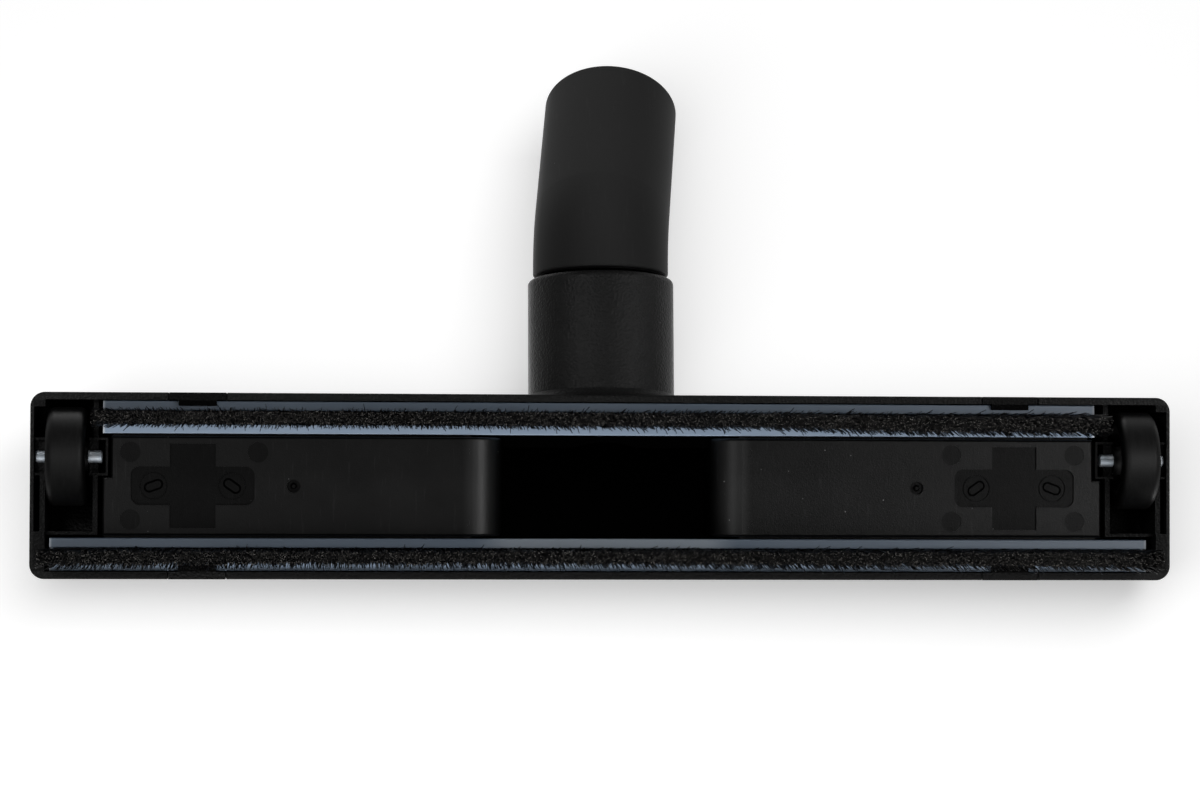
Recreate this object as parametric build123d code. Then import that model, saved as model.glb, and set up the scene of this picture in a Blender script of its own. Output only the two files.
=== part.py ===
from build123d import *
from math import cos, radians, sin
import os

# Suction floor nozzle with two brush strips, in millimetres.
# The floor is z = 0, the front wall faces -Y, the neck points to +Y and "left" is +X.

# Head moulding
HEAD_WIDTH = 355.0
HEAD_DEPTH = 57.4
RIM_Z = 11.0
HEAD_TOP_Z = 36.0
FRONT_TOP_Z = 29.0
SLOPE_TOP_Y = -3.0
WALL = 2.3
CORNER_RADIUS = 4.5
RIM_ROUND = 0.7
FRONT_ROUND = 7.0
SLOPE_ROUND = 40.0
REAR_ROUND = 10.0
END_BLOCK = 4.6
END_SKIN = 1.2
END_RIB = 1.6
END_SLOT_TOP_Z = 31.0
CORNER_POST = 2.2

# Wheels, axle pins and their pockets
WHEEL_RADIUS = 15.2
WHEEL_WIDTH = 12.1
WHEEL_Y = 8.9
TYRE_ROUND = 2.4
HUB_RADIUS = 11.6
HUB_RIM = 2.0
HUB_WEB = 2.0
HUB_KEY = 1.5
HUB_KEY_RADIUS = 12.4
HUB_BOSS_RADIUS = 4.2
HUB_DRAFT = 0.5
HUB_INSET = 0.6
SIDE_PLAY = 0.3
AXLE_RADIUS = 2.0
AXLE_FIT = 0.05
AXLE_MOUTH = 3.8
AXLE_INNER_X = 155.6
AXLE_OUTER_X = 176.0
POCKET_WALL_X = (156.9, 158.4)
POCKET_FRONT_Y = (-15.1, -14.1)
POCKET_LIP_Z = 12.0
POCKET_LOW_Z = 14.5
CRADLE_X = (153.8, 159.6)
CRADLE_Y = (3.1, 14.7)
CRADLE_LIP_Z = 12.0
CRADLE_SKIN = 0.7
CRADLE_SEAT_Z = 14.6
CRADLE_WELL_Z = 24.0

# Brush strips
STRIP_Y = 21.1
STRIP_WIDTH = 10.0
STRIP_TOP_Z = 19.2
STRIP_FACE_Z = 12.6
STRIP_ROUND = 0.3
STRIP_SLOT = 4.2
STRIP_SLOT_TOP_Z = 17.2
REAR_STRIP_LENGTH = 309.0
REAR_STRIP_SHIFT = 0.9
FRONT_STRIP_LENGTH = 341.6
FRONT_STRIP_SHIFT = 0.7
STRAND_ROWS = 3
STRAND_PITCH = 4.4
STRAND_ROW_PITCH = 1.15
STRAND_SIZE = (1.2, 0.7)
STRAND_SPREAD = 1.6
STRAND_JITTER = 0.7
STRAND_TAPER = 0.6
STRIP_END_BARE = 2.0
BACKING = (3.8, 1.2)

# Strip latches: flexing tongues cut in the long walls
LATCH_X = 126.5
LATCH_WIDTH = 17.4
LATCH_GAP = 0.35
LATCH_PIVOT_Z = 22.0
LATCH_FIT = 0.05
HOOK_WIDTH = 11.6
HOOK_REACH = 1.8
HOOK_HEIGHT = 1.3

# Sole plate
PLATE_Z = 11.4
PLATE_THICK = 2.4
PLATE_HALF_DEPTH = 15.3
PLATE_END_X = 155.4
PLATE_NOTCH_X = 152.8
PLATE_NOTCH_Y = 2.6
SOLE_ROUND = 0.8
SEAT_Y = (12.3, 26.0)
SEAT_Z = 19.4
THROAT_LIP_X = 42.0
THROAT_LIP_RADIUS = 10.0
THROAT_TOP_Z = 32.0
THROAT_FRONT_Y = (-17.4, -15.0)
THROAT_ARCH = (-12.9, 27.0)
PEG_X = (97.0, 147.0)
PEG_RADIUS = 2.5
PEG_TOP_Z = 31.0
BOSS_RADIUS = 4.4
BOSS_LIP_Z = 22.5

# Moulding marks on the underside of the sole plate
CROSS_X = 127.9
CROSS_BAR = (14.0, 26.0)
CROSS_ARM = (37.8, 11.9)
CROSS_DEPTH = 0.7
CROSS_ROUND = 2.8
DISC_RADIUS = 4.25
DISC_OFFSET = 12.0
DISC_GROOVE = 0.3
DISC_DEPTH = 0.5
POINTER = (6.0, 3.2)
POINTER_GROOVE = 0.5
POINTER_TURN = (35.0, -20.0)
PIN_MARK_RADIUS = 3.15
PIN_MARK_DEPTH = 0.15
PIN_MARK_X = (147.0, 108.0)
PIN_MARK_Y = 10.4
GATE_X = 97.0
GATE_RADIUS = 2.1
GATE_DEPTH = 1.1
SMALL_MARK = (44.0, 10.9, 1.3)

# Neck collar and the fairing in front of it
NECK_TILT = 6.0
NECK_Z = 37.5
NECK_RADIUS = 23.25
NECK_BORE = 20.8
NECK_LENGTH = 37.3
NECK_LIP_ROUND = 1.8
NECK_BASE_ROUND = 4.0
BORE_DEPTH = 32.0
DUCT_RADIUS = 18.3
FAIRING_SECTIONS = ((-25.0, 15.0, 46.0, 10.0), (-5.0, 22.5, 40.0, 19.0), (14.0, 31.0, 29.5, 24.0))
FAIRING_WALL = 2.4
FAIRING_LEAD = 8.0

# Swivel elbow
ELBOW_RADIUS = 21.6
ELBOW_GAP = 1.3
ELBOW_LEAD = 2.5
ELBOW_BEND = 32.0
ELBOW_BEND_RADIUS = 36.0
ELBOW_TAIL = 47.5
ELBOW_LEAN = 11.5
SPIGOT_LENGTH = 30.0
SPIGOT_FIT = 0.07
LUMEN_RADIUS = 18.0
SOCKET_RADIUS = 19.1
SOCKET_DEPTH = 44.0
TIP_ROUND = 0.8
RING_DEPTH = 20.5
RING_WIDTH = 3.0
RING_RADII = (19.6, 21.9)
RING_PLAY = 0.15
RING_SPLIT = 0.5
SEAL_DEPTH = 7.0
SEAL_WIDTH = 2.1
SEAL_RADII = (19.4, 20.75)
SEAL_ROUND = 0.6
GAP_RELIEF = (0.1, 2.5)

# Values worked out from the sizes above
HALF_WIDTH = HEAD_WIDTH / 2
HALF_DEPTH = HEAD_DEPTH / 2
WALL_INNER_Y = HALF_DEPTH - WALL
BLOCK_X = HALF_WIDTH - END_BLOCK
SKIN_X = HALF_WIDTH - END_SKIN
WHEEL_X = (CRADLE_X[1] + BLOCK_X) / 2
WALL_MIDDLE_Y = HALF_DEPTH - WALL / 2
NECK_AXIS = Vector(0, cos(radians(NECK_TILT)), sin(radians(NECK_TILT)))
NECK_BASE = Vector(0, HALF_DEPTH, NECK_Z)
MOUTH = NECK_BASE + NECK_AXIS * NECK_LENGTH


def block(x_span, y_span, z_span):
    """Box between two values on each axis."""
    size = [abs(span[1] - span[0]) for span in (x_span, y_span, z_span)]
    middle = [(span[0] + span[1]) / 2 for span in (x_span, y_span, z_span)]
    return Pos(*middle) * Box(*size)


def both_sides(solid):
    """The solid and its mirror image on the other side of the head."""
    return solid + mirror(solid, Plane.YZ)


def neck_frame(along):
    """Frame on the neck axis, z along it, a distance past the rear wall."""
    return Plane(origin=NECK_BASE + NECK_AXIS * along, x_dir=(1, 0, 0), z_dir=NECK_AXIS)


def head_profile(inset):
    """Side profile of the head, y and z, moved in by a wall thickness and open below the rim."""
    reach = HALF_DEPTH - inset
    floor = RIM_Z if inset == 0 else RIM_Z - WALL
    corners = [
        (-reach, floor),
        (-reach, FRONT_TOP_Z - inset),
        (SLOPE_TOP_Y, HEAD_TOP_Z - inset),
        (reach, HEAD_TOP_Z - inset),
        (reach, floor),
    ]
    outline = make_face(Polyline(*corners, close=True))
    for corner, radius in ((corners[1], FRONT_ROUND), (corners[2], SLOPE_ROUND), (corners[3], REAR_ROUND)):
        vertex = outline.vertices().sort_by_distance((*corner, 0))[0]
        outline = fillet(vertex, radius - inset)
    return Plane.YZ * outline


def head_body():
    body = extrude(head_profile(0), HALF_WIDTH, both=True)
    ends = [edge for edge in body.edges() if abs(abs(edge.center().X) - HALF_WIDTH) < 0.01]
    body = fillet([edge for edge in ends if edge.center().Z > RIM_Z + 0.01], CORNER_RADIUS)
    rim = [edge for edge in body.edges() if edge.bounding_box().max.Z < RIM_Z + 0.01]
    return fillet(rim, RIM_ROUND)


def fairing(inset):
    """Hump that carries the suction duct from the throat up to the neck."""
    sections = []
    for y, z, half_width, half_height in FAIRING_SECTIONS:
        station = Plane(origin=(0, y, z), x_dir=(1, 0, 0), z_dir=(0, 1, 0))
        sections.append(station * Ellipse(half_width - inset, half_height - inset))
    radius = NECK_RADIUS if inset == 0 else DUCT_RADIUS
    sections.append(neck_frame(0.0) * Circle(radius))
    sections.append(neck_frame(FAIRING_LEAD) * Circle(radius))
    return loft(sections)


def latch_window(side_x, side_y):
    """Opening in a long wall for a flexing tongue, with a round top for its root."""
    half = LATCH_WIDTH / 2 + LATCH_GAP
    span_y = sorted((side_y * (WALL_INNER_Y - 1), side_y * (HALF_DEPTH + 1)))
    centre_x = side_x * LATCH_X
    slot = block((centre_x - half, centre_x + half), span_y, (RIM_Z - 1, LATCH_PIVOT_Z))
    root = Pos(centre_x, side_y * WALL_MIDDLE_Y, LATCH_PIVOT_Z) * Rot(0, 90, 0)
    return slot + root * Cylinder(WALL / 2 + LATCH_FIT, 2 * half)


def strip_latch(side_x, side_y):
    half = LATCH_WIDTH / 2
    centre_x = side_x * LATCH_X
    span_y = sorted((side_y * WALL_INNER_Y, side_y * HALF_DEPTH))
    tongue = block((centre_x - half, centre_x + half), span_y, (RIM_Z, LATCH_PIVOT_Z))
    root = Pos(centre_x, side_y * WALL_MIDDLE_Y, LATCH_PIVOT_Z) * Rot(0, 90, 0)
    tongue += root * Cylinder(WALL / 2, LATCH_WIDTH)
    hook_y = sorted((side_y * (WALL_INNER_Y - HOOK_REACH), side_y * WALL_MIDDLE_Y))
    hook_x = (centre_x - HOOK_WIDTH / 2, centre_x + HOOK_WIDTH / 2)
    return tongue + block(hook_x, hook_y, (RIM_Z, RIM_Z + HOOK_HEIGHT))


def axle_seat(radius, mouth):
    """Downward open seat for an axle pin, cut through both cradles of the left pocket."""
    span = (AXLE_INNER_X - SIDE_PLAY, AXLE_OUTER_X + AXLE_FIT)
    middle = (span[0] + span[1]) / 2
    seat = Pos(middle, WHEEL_Y, WHEEL_RADIUS) * Rot(0, 90, 0) * Cylinder(radius, span[1] - span[0])
    return seat + block(span, (WHEEL_Y - mouth / 2, WHEEL_Y + mouth / 2), (RIM_Z - 1, WHEEL_RADIUS))


def head_ribs():
    """Walls left standing inside the hollow head: wheel pockets, axle cradles and peg bosses."""
    top = HEAD_TOP_Z
    ribs = block(POCKET_WALL_X, (POCKET_FRONT_Y[0], CRADLE_Y[1]), (POCKET_LIP_Z, top))
    ribs += block(POCKET_WALL_X, (CRADLE_Y[1], HALF_DEPTH), (POCKET_LOW_Z, top))
    ribs += block((POCKET_WALL_X[0], BLOCK_X + 1), POCKET_FRONT_Y, (POCKET_LOW_Z, top))
    ribs += block(CRADLE_X, CRADLE_Y, (CRADLE_LIP_Z, top))
    for peg_x in PEG_X:
        ribs += Pos(peg_x, 0, (BOSS_LIP_Z + top) / 2) * Cylinder(BOSS_RADIUS, top - BOSS_LIP_Z)
    return both_sides(ribs)


def cradle_wells():
    """Hollows around the ends of each axle pin, which leave the pin half bare in its seats."""
    well_x = CRADLE_X[0] + CRADLE_SKIN
    well_y = (CRADLE_Y[0] + CRADLE_SKIN, CRADLE_Y[1] - CRADLE_SKIN)
    wells = block((well_x, SKIN_X), well_y, (RIM_Z - 1, CRADLE_SEAT_Z))
    wells += block((well_x, POCKET_WALL_X[0]), well_y, (RIM_Z - 1, CRADLE_WELL_Z))
    return both_sides(wells)


def end_slots():
    """Coring of the thick end block beside each wheel."""
    slot_z = (RIM_Z - 1, END_SLOT_TOP_Z)
    rear = block((BLOCK_X - 1, SKIN_X), (CRADLE_Y[1], WALL_INNER_Y - CORNER_POST), slot_z)
    front = block((BLOCK_X + END_RIB, SKIN_X), (POCKET_FRONT_Y[1], CRADLE_Y[0]), slot_z)
    lowered = block((BLOCK_X - 1, SKIN_X), (POCKET_FRONT_Y[1], CRADLE_Y[1]), (RIM_Z - 1, CRADLE_LIP_Z))
    return both_sides(rear + front + lowered)


def top_shell():
    body = head_body()
    above_rim = block((-HALF_WIDTH, HALF_WIDTH), (-HALF_DEPTH, 2 * HALF_DEPTH), (RIM_Z + 2, 2 * NECK_Z))
    hump = fairing(0) & above_rim
    collar = Cylinder(NECK_RADIUS, NECK_LENGTH + 2, align=(Align.CENTER, Align.CENTER, Align.MIN))
    collar = fillet(collar.edges().sort_by(Axis.Z)[-1], NECK_LIP_ROUND)
    hump += neck_frame(-2.0) * collar
    outer = body + hump
    joint_edges = new_edges(body, hump, combined=outer)
    outer = fillet(joint_edges, NECK_BASE_ROUND)
    hollow = extrude(head_profile(WALL), BLOCK_X, both=True) - head_ribs()
    shell = outer - hollow - (fairing(FAIRING_WALL) & above_rim)
    bore = Cylinder(NECK_BORE, BORE_DEPTH, align=(Align.CENTER, Align.CENTER, Align.MIN))
    shell -= neck_frame(NECK_LENGTH - BORE_DEPTH) * bore
    shell -= neck_frame(0.0) * Cylinder(DUCT_RADIUS, 2 * BORE_DEPTH / 3)
    groove = Cylinder(RING_RADII[1] + RING_PLAY, RING_WIDTH + RING_PLAY)
    shell -= neck_frame(NECK_LENGTH - RING_DEPTH) * groove
    shell -= end_slots() + cradle_wells()
    shell -= both_sides(axle_seat(AXLE_RADIUS + AXLE_FIT, AXLE_MOUTH))
    for peg_x in PEG_X:
        hole = Pos(peg_x, 0, (PEG_TOP_Z + BOSS_LIP_Z) / 2)
        shell -= both_sides(hole * Cylinder(PEG_RADIUS + AXLE_FIT, PEG_TOP_Z - BOSS_LIP_Z + 1))
    for side_y in (-1, 1):
        shell -= both_sides(latch_window(1, side_y))
    return shell


def plate_profile():
    """Left half of the plate section, x and z: flat sole, rounded throat lip and upright duct wall."""
    upper_z = PLATE_Z + PLATE_THICK
    lip_z = PLATE_Z + THROAT_LIP_RADIUS
    inner_x = THROAT_LIP_X - THROAT_LIP_RADIUS
    outer_x = inner_x + PLATE_THICK
    centre = (THROAT_LIP_X, lip_z)
    sole_end = (PLATE_END_X, PLATE_Z), (PLATE_END_X, upper_z)
    sole = Polyline((THROAT_LIP_X, PLATE_Z), *sole_end, (THROAT_LIP_X, upper_z))
    duct = Polyline((outer_x, lip_z), (outer_x, THROAT_TOP_Z), (inner_x, THROAT_TOP_Z), (inner_x, lip_z))
    outer_arc = CenterArc(centre, THROAT_LIP_RADIUS - PLATE_THICK, 180, 90)
    inner_arc = CenterArc(centre, THROAT_LIP_RADIUS, 180, 90)
    return Plane.XZ * make_face(sole + outer_arc + duct + inner_arc)


def moulding_marks():
    """Shallow marks cut in the underside of the left half of the plate."""
    floor_z = PLATE_Z + CROSS_DEPTH
    cut = extrude(Pos(CROSS_X, 0, PLATE_Z) * Rectangle(*CROSS_BAR), CROSS_DEPTH)
    cut += extrude(Pos(CROSS_X, 0, PLATE_Z) * RectangleRounded(*CROSS_ARM, CROSS_ROUND), CROSS_DEPTH)
    for side, turn in zip((-1, 1), POINTER_TURN):
        centre = Pos(CROSS_X + side * DISC_OFFSET, 0, floor_z)
        ring = Circle(DISC_RADIUS) - Circle(DISC_RADIUS - DISC_GROOVE)
        inner = [size - 2 * POINTER_GROOVE for size in POINTER]
        pointer = Rot(0, 0, turn) * (SlotOverall(*POINTER) - SlotOverall(*inner))
        cut += extrude(centre * (ring + pointer), DISC_DEPTH)
    gate = extrude(Pos(GATE_X, 0, PLATE_Z) * Circle(GATE_RADIUS), GATE_DEPTH)
    nub = Pos(GATE_X, 0, PLATE_Z + GATE_DEPTH / 2) * Cone(GATE_RADIUS / 4, GATE_RADIUS / 2, GATE_DEPTH)
    cut += gate - nub
    for side in (-1, 1):
        mark_x, mark_y, radius = SMALL_MARK
        cut += extrude(Pos(mark_x, side * mark_y, PLATE_Z) * Circle(radius), PIN_MARK_DEPTH)
    return cut


def pin_marks():
    """Ejector pin marks: three on the left half of the plate and four on the right."""
    cut = Part()
    for side_x in (-1, 1):
        for mark_x in PIN_MARK_X:
            for side_y in (-1, 1):
                if side_x == 1 and mark_x == PIN_MARK_X[1] and side_y == -1:
                    continue
                spot = Pos(side_x * mark_x, side_y * PIN_MARK_Y, PLATE_Z)
                cut += extrude(spot * Circle(PIN_MARK_RADIUS), PIN_MARK_DEPTH)
    return cut


def sole_plate():
    upper_z = PLATE_Z + PLATE_THICK
    half = extrude(plate_profile(), PLATE_HALF_DEPTH, both=True)
    notch_y = (PLATE_NOTCH_Y, PLATE_HALF_DEPTH + 1)
    half -= block((PLATE_NOTCH_X, PLATE_END_X + 1), notch_y, (PLATE_Z - 1, upper_z + 1))
    sole_edges = [edge for edge in half.edges() if edge.bounding_box().max.Z < PLATE_Z + 0.01]
    half = fillet([edge for edge in sole_edges if edge.center().X > THROAT_LIP_X + 1], SOLE_ROUND)
    half -= moulding_marks()
    for peg_x in PEG_X:
        half += Pos(peg_x, 0, (upper_z + PEG_TOP_Z) / 2) * Cylinder(PEG_RADIUS, PEG_TOP_Z - upper_z)
    plate = both_sides(half) - pin_marks()
    for side_y, end_x in ((1, PLATE_NOTCH_X), (-1, PLATE_END_X)):
        seat_y = sorted((side_y * SEAT_Y[0], side_y * SEAT_Y[1]))
        wall_y = sorted((side_y * SEAT_Y[0], side_y * PLATE_HALF_DEPTH))
        plate += block((-end_x, end_x), seat_y, (SEAT_Z, SEAT_Z + PLATE_THICK))
        plate += both_sides(block((THROAT_LIP_X, end_x), wall_y, (upper_z - 1, SEAT_Z)))
    throat_x = THROAT_LIP_X - THROAT_LIP_RADIUS
    plate -= block((-throat_x, throat_x), (THROAT_FRONT_Y[1], SEAT_Y[0]), (PLATE_Z, THROAT_TOP_Z))
    arch_y, arch_radius = THROAT_ARCH
    arch = Pos(0, arch_y, SEAT_Z) * Cylinder(arch_radius, 3 * PLATE_THICK)
    plate -= arch & block((-throat_x, throat_x), (0, PLATE_HALF_DEPTH), (PLATE_Z, THROAT_TOP_Z))
    duct_x = throat_x + PLATE_THICK / 2
    plate += block((-duct_x, duct_x), THROAT_FRONT_Y, (SEAT_Z, THROAT_TOP_Z))
    return plate & extrude(head_profile(WALL + SIDE_PLAY), BLOCK_X, both=True)


def strip_carrier(side_y, length, shift):
    """Plastic strip with a slot for the bristles in its underside."""
    half, slot = STRIP_WIDTH / 2, STRIP_SLOT / 2
    right = [
        (slot, STRIP_SLOT_TOP_Z),
        (slot, STRIP_FACE_Z),
        (half, STRIP_FACE_Z),
        (half, STRIP_TOP_Z),
    ]
    left = [(-y, z) for y, z in reversed(right)]
    outline = make_face(Polyline(*right, *left, close=True))
    edges = [vertex for vertex in outline.vertices() if abs(vertex.Y - STRIP_FACE_Z) < 0.01]
    outline = fillet(edges, STRIP_ROUND)
    return Pos(shift, side_y * STRIP_Y, 0) * extrude(Plane.YZ * outline, length / 2, both=True)


def strand(x, y, lean_x, lean_y):
    """One four-sided bristle from inside the backing to the floor."""
    root_z = STRIP_SLOT_TOP_Z - BACKING[1] / 2
    root = Pos(x, y, root_z) * Rectangle(*STRAND_SIZE)
    tip_size = [size * STRAND_TAPER for size in STRAND_SIZE]
    tip = Pos(x + lean_x, y + lean_y, 0) * Rectangle(*tip_size)
    return loft([root, tip], ruled=True)


def bristles(side_y, length, shift):
    """Rows of bristles that lean outwards, on the slice of backing that holds them in the slot."""
    count = int((length - 2 * STRIP_END_BARE) / STRAND_PITCH)
    strands = []
    for row in range(STRAND_ROWS):
        across = row - (STRAND_ROWS - 1) / 2
        for place in range(count):
            stagger = STRAND_PITCH * (row / STRAND_ROWS - 1 / 3)
            x = (place - (count - 1) / 2) * STRAND_PITCH + stagger
            sway = sin(2.4 * place + 1.7 * row)
            lean_x = STRAND_JITTER * sin(5.1 * place + 2.3 * row)
            lean_y = STRAND_SPREAD * across + 0.4 * STRAND_JITTER * sway
            strands.append(strand(x, across * STRAND_ROW_PITCH, lean_x, lean_y))
    top = STRIP_SLOT_TOP_Z - AXLE_FIT
    backing = Pos(0, 0, top - BACKING[1] / 2) * Box(length - STRIP_END_BARE, BACKING[0], BACKING[1])
    return Pos(shift, side_y * STRIP_Y, 0) * (backing + strands)


def turned(profile, x):
    """Ring made by turning a face drawn as radius and place along the axle."""
    ring = revolve(Plane.XZ * profile, Axis.Z)
    return Pos(x, WHEEL_Y, WHEEL_RADIUS) * Rot(0, 90, 0) * ring


def wheel_hub(x):
    rim_half = WHEEL_WIDTH / 2 - HUB_INSET
    boss_half = (BLOCK_X - CRADLE_X[1]) / 2 - SIDE_PLAY
    bore = AXLE_RADIUS + AXLE_FIT
    right = [
        (bore, boss_half),
        (HUB_BOSS_RADIUS, boss_half),
        (HUB_BOSS_RADIUS + HUB_DRAFT, HUB_WEB),
        (HUB_RADIUS - HUB_RIM - HUB_DRAFT, HUB_WEB),
        (HUB_RADIUS - HUB_RIM, rim_half),
        (HUB_RADIUS, rim_half),
        (HUB_RADIUS, HUB_KEY),
        (HUB_KEY_RADIUS, HUB_KEY),
    ]
    left = [(radius, -along) for radius, along in reversed(right)]
    return turned(make_face(Polyline(*right, *left, close=True)), x)


def wheel_tyre(x):
    half = WHEEL_WIDTH / 2
    fit = AXLE_FIT / 2
    right = [
        (HUB_KEY_RADIUS + fit, HUB_KEY + fit),
        (HUB_RADIUS + fit, HUB_KEY + fit),
        (HUB_RADIUS + fit, half),
        (WHEEL_RADIUS, half),
    ]
    left = [(radius, -along) for radius, along in reversed(right)]
    outline = make_face(Polyline(*right, *left, close=True))
    shoulders = [vertex for vertex in outline.vertices() if vertex.X > WHEEL_RADIUS - 0.01]
    return turned(fillet(shoulders, TYRE_ROUND), x)


def axle(side_x):
    length = AXLE_OUTER_X - AXLE_INNER_X
    pin = Cylinder(AXLE_RADIUS, length)
    pin = chamfer(pin.edges().filter_by(GeomType.CIRCLE), AXLE_RADIUS / 6)
    middle = (AXLE_OUTER_X + AXLE_INNER_X) / 2
    return Pos(side_x * middle, WHEEL_Y, WHEEL_RADIUS) * Rot(0, 90, 0) * pin


def mouth_frame():
    """Frame at the collar mouth, z along the neck and x towards the inside of the elbow's bend."""
    lean = radians(ELBOW_LEAN)
    up = NECK_AXIS.cross(Vector(-1, 0, 0))
    return Plane(origin=MOUTH, x_dir=up * cos(lean) - Vector(sin(lean), 0, 0), z_dir=NECK_AXIS)


def tail_frame():
    """Frame at the end of the elbow's bend, in the mouth frame, z along the straight tail."""
    turn = radians(ELBOW_BEND)
    direction = (sin(turn), 0, cos(turn))
    reach = ELBOW_BEND_RADIUS * (1 - cos(turn))
    rise = ELBOW_LEAD + ELBOW_BEND_RADIUS * sin(turn)
    return Plane(origin=(reach, 0, rise), x_dir=(cos(turn), 0, -sin(turn)), z_dir=direction)


def tube(radius, start, end):
    """Round bar on the neck axis between two places, in the mouth frame."""
    return Pos(0, 0, (start + end) / 2) * Cylinder(radius, end - start)


def bent_bar(radius, start):
    """Round bar along the elbow's path, from a place on the neck axis to the tip."""
    bend_axis = Axis((ELBOW_BEND_RADIUS, 0, ELBOW_LEAD), (0, 1, 0))
    bar = tube(radius, start, ELBOW_LEAD)
    bar += revolve(Pos(0, 0, ELBOW_LEAD) * Circle(radius), bend_axis, ELBOW_BEND)
    return bar + tail_frame() * tube(radius, 0, ELBOW_TAIL)


def swivel_elbow():
    tail = tail_frame()
    outside = bent_bar(ELBOW_RADIUS, ELBOW_GAP)
    rims = outside.edges().filter_by(GeomType.CIRCLE)
    tip_point = tail.origin + tail.z_dir * ELBOW_TAIL
    tip_edge = sorted(rims, key=lambda edge: (edge.arc_center - tip_point).length)[0]
    base_edge = sorted(rims, key=lambda edge: (edge.arc_center - Vector(0, 0, ELBOW_GAP)).length)[0]
    outside = fillet([tip_edge, base_edge], TIP_ROUND)
    outside += tube(NECK_BORE - SPIGOT_FIT, -SPIGOT_LENGTH, ELBOW_GAP + TIP_ROUND)
    elbow = outside - bent_bar(LUMEN_RADIUS, -SPIGOT_LENGTH - 1)
    elbow -= tail * tube(SOCKET_RADIUS, ELBOW_TAIL - SOCKET_DEPTH, ELBOW_TAIL + 1)
    ring_seat = (RING_DEPTH, RING_WIDTH, RING_RADII[0])
    seal_seat = (SEAL_DEPTH, SEAL_WIDTH, SEAL_RADII[0])
    gap_relief = (*GAP_RELIEF, SEAL_RADII[0])
    for depth, width, floor in (ring_seat, seal_seat, gap_relief):
        half = width / 2 + RING_PLAY
        groove = tube(NECK_BORE, -depth - half, -depth + half)
        elbow -= groove - tube(floor - AXLE_FIT, -depth - half, -depth + half)
    return mouth_frame() * elbow


def ring_half(side):
    """Half of the split ring that keeps the elbow in the collar."""
    start, end = -RING_DEPTH - RING_WIDTH / 2, -RING_DEPTH + RING_WIDTH / 2
    ring = tube(RING_RADII[1], start, end) - tube(RING_RADII[0], start, end)
    reach = sorted((side * RING_SPLIT / 2, side * NECK_RADIUS))
    half = block((-NECK_RADIUS, NECK_RADIUS), reach, (start, end))
    return neck_frame(NECK_LENGTH) * (ring & half)


def seal_ring():
    start, end = -SEAL_DEPTH - SEAL_WIDTH / 2, -SEAL_DEPTH + SEAL_WIDTH / 2
    outer = fillet(tube(SEAL_RADII[1], start, end).edges().filter_by(GeomType.CIRCLE), SEAL_ROUND)
    return neck_frame(NECK_LENGTH) * (outer - tube(SEAL_RADII[0], start, end))


def pieces():
    """Every separate piece by name."""
    made = {
        "top_shell": top_shell(),
        "sole_plate": sole_plate(),
        "rear_strip_carrier": strip_carrier(1, REAR_STRIP_LENGTH, REAR_STRIP_SHIFT),
        "rear_bristles": bristles(1, REAR_STRIP_LENGTH, REAR_STRIP_SHIFT),
        "front_strip_carrier": strip_carrier(-1, FRONT_STRIP_LENGTH, FRONT_STRIP_SHIFT),
        "front_bristles": bristles(-1, FRONT_STRIP_LENGTH, FRONT_STRIP_SHIFT),
        "swivel_elbow": swivel_elbow(),
        "swivel_seal_ring": seal_ring(),
        "ring_half_upper": ring_half(-1),
        "ring_half_lower": ring_half(1),
    }
    for side, side_x in (("left", 1), ("right", -1)):
        made[f"wheel_hub_{side}"] = wheel_hub(side_x * WHEEL_X)
        made[f"wheel_tyre_{side}"] = wheel_tyre(side_x * WHEEL_X)
        made[f"axle_{side}"] = axle(side_x)
        made[f"strip_latch_rear_{side}"] = strip_latch(side_x, 1)
        made[f"strip_latch_front_{side}"] = strip_latch(side_x, -1)
    return made


os.makedirs("parts", exist_ok=True)
for name, solid in pieces().items():
    export_step(solid, f"parts/{name}.step")
    print(name, len(solid.solids()), round(solid.volume, 1))
tip = mouth_frame() * tail_frame() * Pos(0, 0, ELBOW_TAIL)
print("socket mouth", tip.position, "axis", Plane(tip).z_dir)
print("collar mouth", MOUTH, "neck axis", NECK_AXIS)
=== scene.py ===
import math

import bpy
from mathutils import Matrix, Vector


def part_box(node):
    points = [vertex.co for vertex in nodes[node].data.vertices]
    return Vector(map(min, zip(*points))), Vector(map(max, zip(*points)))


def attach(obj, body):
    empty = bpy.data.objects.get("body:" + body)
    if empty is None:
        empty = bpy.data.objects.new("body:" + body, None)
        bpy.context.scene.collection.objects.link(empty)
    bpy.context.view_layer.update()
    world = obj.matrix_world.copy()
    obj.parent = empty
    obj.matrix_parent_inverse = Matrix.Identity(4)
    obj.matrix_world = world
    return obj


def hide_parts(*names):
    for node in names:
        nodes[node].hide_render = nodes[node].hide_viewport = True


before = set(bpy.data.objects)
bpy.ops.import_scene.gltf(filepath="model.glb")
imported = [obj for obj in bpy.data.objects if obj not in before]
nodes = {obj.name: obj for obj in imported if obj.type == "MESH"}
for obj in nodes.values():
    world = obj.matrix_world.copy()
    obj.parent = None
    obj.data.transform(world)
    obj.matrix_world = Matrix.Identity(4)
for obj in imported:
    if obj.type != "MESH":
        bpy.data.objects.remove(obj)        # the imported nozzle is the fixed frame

scene = bpy.context.scene
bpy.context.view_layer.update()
print("nozzle frame loaded,", len(nodes), "CAD nodes")


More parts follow.
